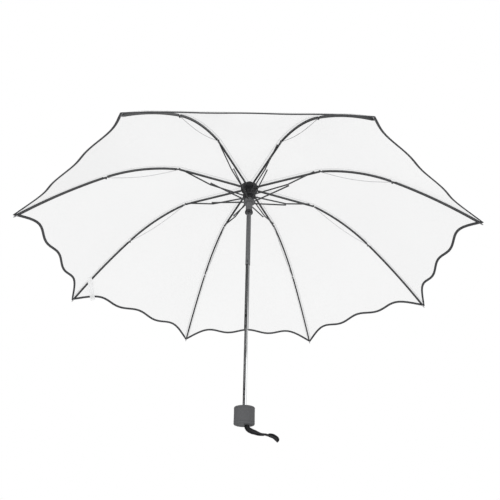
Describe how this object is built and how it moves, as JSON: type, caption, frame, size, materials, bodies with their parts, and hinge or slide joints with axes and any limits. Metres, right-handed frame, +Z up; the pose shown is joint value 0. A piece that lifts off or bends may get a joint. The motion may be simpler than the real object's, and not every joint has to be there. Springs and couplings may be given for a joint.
{
  "type": "folding umbrella",
  "caption": "Three-fold umbrella with a clear scalloped canopy, dark jointed ribs, telescoping shaft and short round grip, modelled open.",
  "frame": {"origin": "centre of the grip, on the shaft's axis", "axes": "+Z up the shaft towards the crown, +X to the right of the wrist strap's free loop, -Y towards the viewer"},
  "size_m": [0.89, 0.89, 0.602],
  "materials": {
    "soft_grip": "matte dark grey moulded grip",
    "black_moulding": "semi-matte black moulded plastic",
    "ribbon": "woven near-black ribbon",
    "bright_steel": "bright plated tube",
    "grey_steel": "grey plated tube",
    "dark_steel": "dark coated steel",
    "spring_wire": "plain drawn wire",
    "button": "black button",
    "clear_film": "clear soft film, slightly milky",
    "binding_tape": "dark folded edge tape",
    "clear_strap": "milky clear strap"
  },
  "bodies": {
    "grip": {"grip_shell": "soft_grip", "grip_core": "black_moulding", "grip_end_cap": "soft_grip", "wrist_strap": "ribbon", "shaft_inner_tube": "bright_steel"},
    "middle_tube": {"shaft_middle_tube": "grey_steel"},
    "top_tube": {"shaft_outer_tube": "dark_steel", "top_notch": "black_moulding", "notch_cap": "black_moulding", "notch_rib_wire": "spring_wire", "notch_link_wire": "spring_wire", "canopy": "clear_film", "hem_binding": "binding_tape", "closure_strap": "clear_strap"},
    "runner": {"runner": "black_moulding", "runner_collar": "black_moulding", "runner_wire": "spring_wire"},
    "runner_catch": {"runner_catch": "button"},
    "lower_button": {"lower_tube_button": "button"},
    "upper_button": {"upper_tube_button": "button"},
    "top_rib_1": {"top_rib_1": "dark_steel"},
    "middle_rib_1": {"middle_rib_1": "dark_steel"},
    "outer_rib_1": {"outer_rib_1": "dark_steel"},
    "control_link_1": {"control_link_1": "dark_steel"},
    "stretcher_1": {"stretcher_1": "dark_steel"},
    "top_rib_2": {"top_rib_2": "dark_steel"},
    "middle_rib_2": {"middle_rib_2": "dark_steel"},
    "outer_rib_2": {"outer_rib_2": "dark_steel"},
    "control_link_2": {"control_link_2": "dark_steel"},
    "stretcher_2": {"stretcher_2": "dark_steel"},
    "top_rib_3": {"top_rib_3": "dark_steel"},
    "middle_rib_3": {"middle_rib_3": "dark_steel"},
    "outer_rib_3": {"outer_rib_3": "dark_steel"},
    "control_link_3": {"control_link_3": "dark_steel"},
    "stretcher_3": {"stretcher_3": "dark_steel"},
    "top_rib_4": {"top_rib_4": "dark_steel"},
    "middle_rib_4": {"middle_rib_4": "dark_steel"},
    "outer_rib_4": {"outer_rib_4": "dark_steel"},
    "control_link_4": {"control_link_4": "dark_steel"},
    "stretcher_4": {"stretcher_4": "dark_steel"},
    "top_rib_5": {"top_rib_5": "dark_steel"},
    "middle_rib_5": {"middle_rib_5": "dark_steel"},
    "outer_rib_5": {"outer_rib_5": "dark_steel"},
    "control_link_5": {"control_link_5": "dark_steel"},
    "stretcher_5": {"stretcher_5": "dark_steel"},
    "top_rib_6": {"top_rib_6": "dark_steel"},
    "middle_rib_6": {"middle_rib_6": "dark_steel"},
    "outer_rib_6": {"outer_rib_6": "dark_steel"},
    "control_link_6": {"control_link_6": "dark_steel"},
    "stretcher_6": {"stretcher_6": "dark_steel"},
    "top_rib_7": {"top_rib_7": "dark_steel"},
    "middle_rib_7": {"middle_rib_7": "dark_steel"},
    "outer_rib_7": {"outer_rib_7": "dark_steel"},
    "control_link_7": {"control_link_7": "dark_steel"},
    "stretcher_7": {"stretcher_7": "dark_steel"},
    "top_rib_8": {"top_rib_8": "dark_steel"},
    "middle_rib_8": {"middle_rib_8": "dark_steel"},
    "outer_rib_8": {"outer_rib_8": "dark_steel"},
    "control_link_8": {"control_link_8": "dark_steel"},
    "stretcher_8": {"stretcher_8": "dark_steel"}
  },
  "joints": [
    {"name": "lower_tube_slide", "type": "slide", "parent": "grip", "child": "middle_tube", "axis": [0, 0, -1], "range_m": [0, 0.13]},
    {"name": "upper_tube_slide", "type": "slide", "parent": "middle_tube", "child": "top_tube", "axis": [0, 0, -1], "range_m": [0, 0.13]},
    {"name": "runner_catch_press", "type": "slide", "parent": "top_tube", "child": "runner_catch", "axis": [0.1736, 0.9848, 0], "range_m": [0, 0.0016], "stiffness_N_per_m": 300},
    {"name": "upper_button_press", "type": "slide", "parent": "top_tube", "child": "upper_button", "axis": [0.1736, 0.9848, 0], "range_m": [0, 0.00085], "stiffness_N_per_m": 300},
    {"name": "lower_button_press", "type": "slide", "parent": "middle_tube", "child": "lower_button", "axis": [0.1736, 0.9848, 0], "range_m": [0, 0.00085], "stiffness_N_per_m": 300},
    {"name": "canopy_fold", "type": "hinge", "parent": "top_tube", "child": "top_rib_1", "pos_m": [0.01663, 0.00689, 0.538], "axis": [-0.3827, 0.9239, 0], "range_deg": [0, 90], "deforming": ["canopy", "hem_binding", "closure_strap"]},
    {"name": "elbow_fold_1", "type": "hinge", "parent": "top_rib_1", "child": "middle_rib_1", "pos_m": [0.1626, 0.06735, 0.5399], "axis": [0.3827, -0.9239, 0], "range_deg": [0, 191.01]},
    {"name": "knuckle_fold_1", "type": "hinge", "parent": "middle_rib_1", "child": "outer_rib_1", "pos_m": [0.30522, 0.12642, 0.46016], "axis": [-0.3827, 0.9239, 0], "range_deg": [0, 155.01]},
    {"name": "control_link_turn_1", "type": "hinge", "parent": "top_tube", "child": "control_link_1", "pos_m": [0.01293, 0.00536, 0.516], "axis": [-0.3827, 0.9239, 0], "range_deg": [0, 95.91]},
    {"name": "stretcher_turn_1", "type": "hinge", "parent": "runner", "child": "stretcher_1", "pos_m": [0.01063, 0.0044, 0.499], "axis": [0.3827, -0.9239, 0], "range_deg": [0, 76.48]},
    {"name": "top_rib_fold_2", "type": "hinge", "parent": "top_tube", "child": "top_rib_2", "pos_m": [0.00689, 0.01663, 0.538], "axis": [-0.9239, 0.3827, 0], "range_deg": [0, 90]},
    {"name": "elbow_fold_2", "type": "hinge", "parent": "top_rib_2", "child": "middle_rib_2", "pos_m": [0.06735, 0.1626, 0.5399], "axis": [0.9239, -0.3827, 0], "range_deg": [0, 191.01]},
    {"name": "knuckle_fold_2", "type": "hinge", "parent": "middle_rib_2", "child": "outer_rib_2", "pos_m": [0.12642, 0.30522, 0.46016], "axis": [-0.9239, 0.3827, 0], "range_deg": [0, 155.01]},
    {"name": "control_link_turn_2", "type": "hinge", "parent": "top_tube", "child": "control_link_2", "pos_m": [0.00536, 0.01293, 0.516], "axis": [-0.9239, 0.3827, 0], "range_deg": [0, 95.91]},
    {"name": "stretcher_turn_2", "type": "hinge", "parent": "runner", "child": "stretcher_2", "pos_m": [0.0044, 0.01063, 0.499], "axis": [0.9239, -0.3827, 0], "range_deg": [0, 76.48]},
    {"name": "top_rib_fold_3", "type": "hinge", "parent": "top_tube", "child": "top_rib_3", "pos_m": [-0.00689, 0.01663, 0.538], "axis": [-0.9239, -0.3827, 0], "range_deg": [0, 90]},
    {"name": "elbow_fold_3", "type": "hinge", "parent": "top_rib_3", "child": "middle_rib_3", "pos_m": [-0.06735, 0.1626, 0.5399], "axis": [0.9239, 0.3827, 0], "range_deg": [0, 191.01]},
    {"name": "knuckle_fold_3", "type": "hinge", "parent": "middle_rib_3", "child": "outer_rib_3", "pos_m": [-0.12642, 0.30522, 0.46016], "axis": [-0.9239, -0.3827, 0], "range_deg": [0, 155.01]},
    {"name": "control_link_turn_3", "type": "hinge", "parent": "top_tube", "child": "control_link_3", "pos_m": [-0.00536, 0.01293, 0.516], "axis": [-0.9239, -0.3827, 0], "range_deg": [0, 95.91]},
    {"name": "stretcher_turn_3", "type": "hinge", "parent": "runner", "child": "stretcher_3", "pos_m": [-0.0044, 0.01063, 0.499], "axis": [0.9239, 0.3827, 0], "range_deg": [0, 76.48]},
    {"name": "top_rib_fold_4", "type": "hinge", "parent": "top_tube", "child": "top_rib_4", "pos_m": [-0.01663, 0.00689, 0.538], "axis": [-0.3827, -0.9239, 0], "range_deg": [0, 90]},
    {"name": "elbow_fold_4", "type": "hinge", "parent": "top_rib_4", "child": "middle_rib_4", "pos_m": [-0.1626, 0.06735, 0.5399], "axis": [0.3827, 0.9239, 0], "range_deg": [0, 191.01]},
    {"name": "knuckle_fold_4", "type": "hinge", "parent": "middle_rib_4", "child": "outer_rib_4", "pos_m": [-0.30522, 0.12642, 0.46016], "axis": [-0.3827, -0.9239, 0], "range_deg": [0, 155.01]},
    {"name": "control_link_turn_4", "type": "hinge", "parent": "top_tube", "child": "control_link_4", "pos_m": [-0.01293, 0.00536, 0.516], "axis": [-0.3827, -0.9239, 0], "range_deg": [0, 95.91]},
    {"name": "stretcher_turn_4", "type": "hinge", "parent": "runner", "child": "stretcher_4", "pos_m": [-0.01063, 0.0044, 0.499], "axis": [0.3827, 0.9239, 0], "range_deg": [0, 76.48]},
    {"name": "top_rib_fold_5", "type": "hinge", "parent": "top_tube", "child": "top_rib_5", "pos_m": [-0.01663, -0.00689, 0.538], "axis": [0.3827, -0.9239, 0], "range_deg": [0, 90]},
    {"name": "elbow_fold_5", "type": "hinge", "parent": "top_rib_5", "child": "middle_rib_5", "pos_m": [-0.1626, -0.06735, 0.5399], "axis": [-0.3827, 0.9239, 0], "range_deg": [0, 191.01]},
    {"name": "knuckle_fold_5", "type": "hinge", "parent": "middle_rib_5", "child": "outer_rib_5", "pos_m": [-0.30522, -0.12642, 0.46016], "axis": [0.3827, -0.9239, 0], "range_deg": [0, 155.01]},
    {"name": "control_link_turn_5", "type": "hinge", "parent": "top_tube", "child": "control_link_5", "pos_m": [-0.01293, -0.00536, 0.516], "axis": [0.3827, -0.9239, 0], "range_deg": [0, 95.91]},
    {"name": "stretcher_turn_5", "type": "hinge", "parent": "runner", "child": "stretcher_5", "pos_m": [-0.01063, -0.0044, 0.499], "axis": [-0.3827, 0.9239, 0], "range_deg": [0, 76.48]},
    {"name": "top_rib_fold_6", "type": "hinge", "parent": "top_tube", "child": "top_rib_6", "pos_m": [-0.00689, -0.01663, 0.538], "axis": [0.9239, -0.3827, 0], "range_deg": [0, 90]},
    {"name": "elbow_fold_6", "type": "hinge", "parent": "top_rib_6", "child": "middle_rib_6", "pos_m": [-0.06735, -0.1626, 0.5399], "axis": [-0.9239, 0.3827, 0], "range_deg": [0, 191.01]},
    {"name": "knuckle_fold_6", "type": "hinge", "parent": "middle_rib_6", "child": "outer_rib_6", "pos_m": [-0.12642, -0.30522, 0.46016], "axis": [0.9239, -0.3827, 0], "range_deg": [0, 155.01]},
    {"name": "control_link_turn_6", "type": "hinge", "parent": "top_tube", "child": "control_link_6", "pos_m": [-0.00536, -0.01293, 0.516], "axis": [0.9239, -0.3827, 0], "range_deg": [0, 95.91]},
    {"name": "stretcher_turn_6", "type": "hinge", "parent": "runner", "child": "stretcher_6", "pos_m": [-0.0044, -0.01063, 0.499], "axis": [-0.9239, 0.3827, 0], "range_deg": [0, 76.48]},
    {"name": "top_rib_fold_7", "type": "hinge", "parent": "top_tube", "child": "top_rib_7", "pos_m": [0.00689, -0.01663, 0.538], "axis": [0.9239, 0.3827, 0], "range_deg": [0, 90]},
    {"name": "elbow_fold_7", "type": "hinge", "parent": "top_rib_7", "child": "middle_rib_7", "pos_m": [0.06735, -0.1626, 0.5399], "axis": [-0.9239, -0.3827, 0], "range_deg": [0, 191.01]},
    {"name": "knuckle_fold_7", "type": "hinge", "parent": "middle_rib_7", "child": "outer_rib_7", "pos_m": [0.12642, -0.30522, 0.46016], "axis": [0.9239, 0.3827, 0], "range_deg": [0, 155.01]},
    {"name": "control_link_turn_7", "type": "hinge", "parent": "top_tube", "child": "control_link_7", "pos_m": [0.00536, -0.01293, 0.516], "axis": [0.9239, 0.3827, 0], "range_deg": [0, 95.91]},
    {"name": "stretcher_turn_7", "type": "hinge", "parent": "runner", "child": "stretcher_7", "pos_m": [0.0044, -0.01063, 0.499], "axis": [-0.9239, -0.3827, 0], "range_deg": [0, 76.48]},
    {"name": "top_rib_fold_8", "type": "hinge", "parent": "top_tube", "child": "top_rib_8", "pos_m": [0.01663, -0.00689, 0.538], "axis": [0.3827, 0.9239, 0], "range_deg": [0, 90]},
    {"name": "elbow_fold_8", "type": "hinge", "parent": "top_rib_8", "child": "middle_rib_8", "pos_m": [0.1626, -0.06735, 0.5399], "axis": [-0.3827, -0.9239, 0], "range_deg": [0, 191.01]},
    {"name": "knuckle_fold_8", "type": "hinge", "parent": "middle_rib_8", "child": "outer_rib_8", "pos_m": [0.30522, -0.12642, 0.46016], "axis": [0.3827, 0.9239, 0], "range_deg": [0, 155.01]},
    {"name": "control_link_turn_8", "type": "hinge", "parent": "top_tube", "child": "control_link_8", "pos_m": [0.01293, -0.00536, 0.516], "axis": [0.3827, 0.9239, 0], "range_deg": [0, 95.91]},
    {"name": "stretcher_turn_8", "type": "hinge", "parent": "runner", "child": "stretcher_8", "pos_m": [0.01063, -0.0044, 0.499], "axis": [-0.3827, -0.9239, 0], "range_deg": [0, 76.48]},
    {"name": "runner_slide", "type": "slide", "parent": "top_tube", "child": "runner", "axis": [0, 0, -1], "range_m": [0, 0.15634]}
  ],
  "couplings": [
    {"joint": "elbow_fold_1", "follows": "canopy_fold", "ratio": 2.1222},
    {"joint": "knuckle_fold_1", "follows": "canopy_fold", "ratio": 1.7222},
    {"joint": "control_link_turn_1", "follows": "canopy_fold", "ratio": 1.0655},
    {"joint": "stretcher_turn_1", "follows": "canopy_fold", "ratio": 0.8497},
    {"joint": "top_rib_fold_2", "follows": "canopy_fold", "ratio": 1},
    {"joint": "elbow_fold_2", "follows": "canopy_fold", "ratio": 2.1222},
    {"joint": "knuckle_fold_2", "follows": "canopy_fold", "ratio": 1.7222},
    {"joint": "control_link_turn_2", "follows": "canopy_fold", "ratio": 1.0655},
    {"joint": "stretcher_turn_2", "follows": "canopy_fold", "ratio": 0.8497},
    {"joint": "top_rib_fold_3", "follows": "canopy_fold", "ratio": 1},
    {"joint": "elbow_fold_3", "follows": "canopy_fold", "ratio": 2.1222},
    {"joint": "knuckle_fold_3", "follows": "canopy_fold", "ratio": 1.7222},
    {"joint": "control_link_turn_3", "follows": "canopy_fold", "ratio": 1.0655},
    {"joint": "stretcher_turn_3", "follows": "canopy_fold", "ratio": 0.8497},
    {"joint": "top_rib_fold_4", "follows": "canopy_fold", "ratio": 1},
    {"joint": "elbow_fold_4", "follows": "canopy_fold", "ratio": 2.1222},
    {"joint": "knuckle_fold_4", "follows": "canopy_fold", "ratio": 1.7222},
    {"joint": "control_link_turn_4", "follows": "canopy_fold", "ratio": 1.0655},
    {"joint": "stretcher_turn_4", "follows": "canopy_fold", "ratio": 0.8497},
    {"joint": "top_rib_fold_5", "follows": "canopy_fold", "ratio": 1},
    {"joint": "elbow_fold_5", "follows": "canopy_fold", "ratio": 2.1222},
    {"joint": "knuckle_fold_5", "follows": "canopy_fold", "ratio": 1.7222},
    {"joint": "control_link_turn_5", "follows": "canopy_fold", "ratio": 1.0655},
    {"joint": "stretcher_turn_5", "follows": "canopy_fold", "ratio": 0.8497},
    {"joint": "top_rib_fold_6", "follows": "canopy_fold", "ratio": 1},
    {"joint": "elbow_fold_6", "follows": "canopy_fold", "ratio": 2.1222},
    {"joint": "knuckle_fold_6", "follows": "canopy_fold", "ratio": 1.7222},
    {"joint": "control_link_turn_6", "follows": "canopy_fold", "ratio": 1.0655},
    {"joint": "stretcher_turn_6", "follows": "canopy_fold", "ratio": 0.8497},
    {"joint": "top_rib_fold_7", "follows": "canopy_fold", "ratio": 1},
    {"joint": "elbow_fold_7", "follows": "canopy_fold", "ratio": 2.1222},
    {"joint": "knuckle_fold_7", "follows": "canopy_fold", "ratio": 1.7222},
    {"joint": "control_link_turn_7", "follows": "canopy_fold", "ratio": 1.0655},
    {"joint": "stretcher_turn_7", "follows": "canopy_fold", "ratio": 0.8497},
    {"joint": "top_rib_fold_8", "follows": "canopy_fold", "ratio": 1},
    {"joint": "elbow_fold_8", "follows": "canopy_fold", "ratio": 2.1222},
    {"joint": "knuckle_fold_8", "follows": "canopy_fold", "ratio": 1.7222},
    {"joint": "control_link_turn_8", "follows": "canopy_fold", "ratio": 1.0655},
    {"joint": "stretcher_turn_8", "follows": "canopy_fold", "ratio": 0.8497},
    {"joint": "runner_slide", "follows": "canopy_fold", "m_per_rad": 0.099516}
  ]
}
